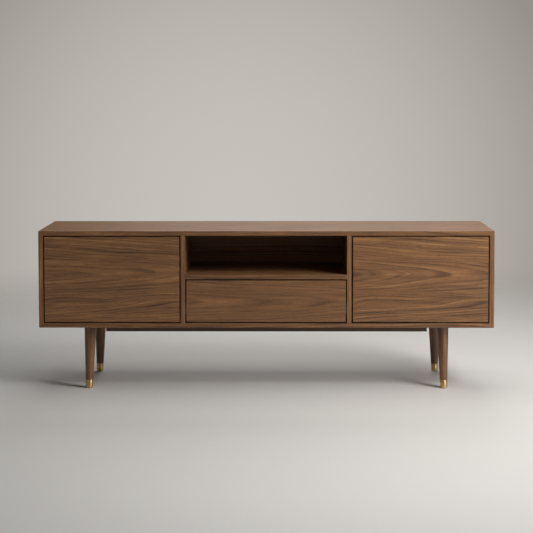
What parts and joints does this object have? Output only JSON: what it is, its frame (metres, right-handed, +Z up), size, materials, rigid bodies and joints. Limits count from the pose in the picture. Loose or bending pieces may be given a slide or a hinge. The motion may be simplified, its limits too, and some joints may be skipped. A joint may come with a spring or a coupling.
{
  "type": "tv stand with doors",
  "caption": "Low wide walnut media cabinet: mitred case, plain inset doors either side of an open niche over a drawer, slim tapered splayed legs with brass feet.",
  "frame": {"origin": "on the floor, under the middle of the case", "axes": "+X along the case to the viewer's right, -Y the way the doors and drawer face, +Z up"},
  "size_m": [1.8, 0.4, 0.632],
  "materials": {
    "walnut_veneer": "walnut veneer on board under a satin lacquer",
    "solid_walnut": "solid walnut, satin lacquer",
    "birch_plywood": "birch plywood, clear matt lacquer",
    "beech": "bare beech",
    "brass": "satin brushed brass",
    "zinc_plated_steel": "bright zinc plate",
    "black_plastic": "moulded, fine matt texture"
  },
  "bodies": {
    "case": {"top_panel": "walnut_veneer", "bottom_panel": "walnut_veneer", "left_side_panel": "walnut_veneer", "right_side_panel": "walnut_veneer", "left_divider": "walnut_veneer", "right_divider": "walnut_veneer", "niche_shelf": "walnut_veneer", "left_back_panel": "walnut_veneer", "centre_back_panel": "walnut_veneer", "right_back_panel": "walnut_veneer", "mitre_splines": "birch_plywood", "panel_dowels": "beech", "left_bay_shelf": "walnut_veneer", "right_bay_shelf": "walnut_veneer", "shelf_pegs": "zinc_plated_steel", "cable_grommets": "black_plastic", "back_screws": "zinc_plated_steel", "front_rail": "solid_walnut", "rear_rail": "solid_walnut", "cross_rails": "solid_walnut", "rail_screws": "zinc_plated_steel", "front_left_leg": "solid_walnut", "front_right_leg": "solid_walnut", "rear_left_leg": "solid_walnut", "rear_right_leg": "solid_walnut", "leg_ferrules": "brass", "leg_glides": "black_plastic", "leg_plates": "zinc_plated_steel", "hanger_bolts": "zinc_plated_steel", "leg_plate_screws": "zinc_plated_steel", "hinge_arms": "zinc_plated_steel", "hinge_plates": "zinc_plated_steel", "hinge_mounting_screws": "zinc_plated_steel", "latch_housings": "black_plastic", "latch_screws": "zinc_plated_steel", "runner_cabinet_members": "zinc_plated_steel", "runner_cabinet_screws": "zinc_plated_steel"},
    "left_door": {"left_door_panel": "walnut_veneer", "left_hinge_cups": "zinc_plated_steel", "left_hinge_pins": "zinc_plated_steel", "left_cup_screws": "zinc_plated_steel", "left_strike_plate": "zinc_plated_steel"},
    "right_door": {"right_door_panel": "walnut_veneer", "right_hinge_cups": "zinc_plated_steel", "right_hinge_pins": "zinc_plated_steel", "right_cup_screws": "zinc_plated_steel", "right_strike_plate": "zinc_plated_steel"},
    "drawer": {"drawer_front": "walnut_veneer", "drawer_left_side": "birch_plywood", "drawer_right_side": "birch_plywood", "drawer_sub_front": "birch_plywood", "drawer_back": "birch_plywood", "drawer_bottom": "birch_plywood", "drawer_screws": "zinc_plated_steel", "runner_drawer_members": "zinc_plated_steel"},
    "runner_middles": {"runner_middle_members": "zinc_plated_steel", "runner_balls": "zinc_plated_steel"},
    "left_plunger": {"left_latch_plunger": "black_plastic"},
    "right_plunger": {"right_latch_plunger": "black_plastic"},
    "drawer_plunger": {"drawer_latch_plunger": "black_plastic"}
  },
  "joints": [
    {"name": "left_door_hinge", "type": "hinge", "parent": "case", "child": "left_door", "pos_m": [-0.85903, -0.189, 0.44], "axis": [0, 0, -1], "range_deg": [0, 95]},
    {"name": "right_door_hinge", "type": "hinge", "parent": "case", "child": "right_door", "pos_m": [0.85903, -0.189, 0.44], "axis": [0, 0, 1], "range_deg": [0, 95]},
    {"name": "drawer_slide", "type": "slide", "parent": "case", "child": "drawer", "axis": [0, -1, 0], "range_m": [0, 0.3]},
    {"name": "runner_slide", "type": "slide", "parent": "case", "child": "runner_middles", "axis": [0, -1, 0], "range_m": [0, 0.15]},
    {"name": "left_latch_push", "type": "slide", "parent": "case", "child": "left_plunger", "axis": [0, -1, 0], "range_m": [0, 0.0121]},
    {"name": "right_latch_push", "type": "slide", "parent": "case", "child": "right_plunger", "axis": [0, -1, 0], "range_m": [0, 0.0121]},
    {"name": "drawer_latch_push", "type": "slide", "parent": "case", "child": "drawer_plunger", "axis": [0, -1, 0], "range_m": [0, 0.0121]}
  ],
  "couplings": [
    {"joint": "runner_slide", "follows": "drawer_slide", "ratio": 0.5},
    {"joint": "left_latch_push", "follows": "left_door_hinge", "m_per_rad": 0.007237},
    {"joint": "right_latch_push", "follows": "right_door_hinge", "m_per_rad": 0.007237},
    {"joint": "drawer_latch_push", "follows": "drawer_slide", "ratio": 0.04}
  ]
}
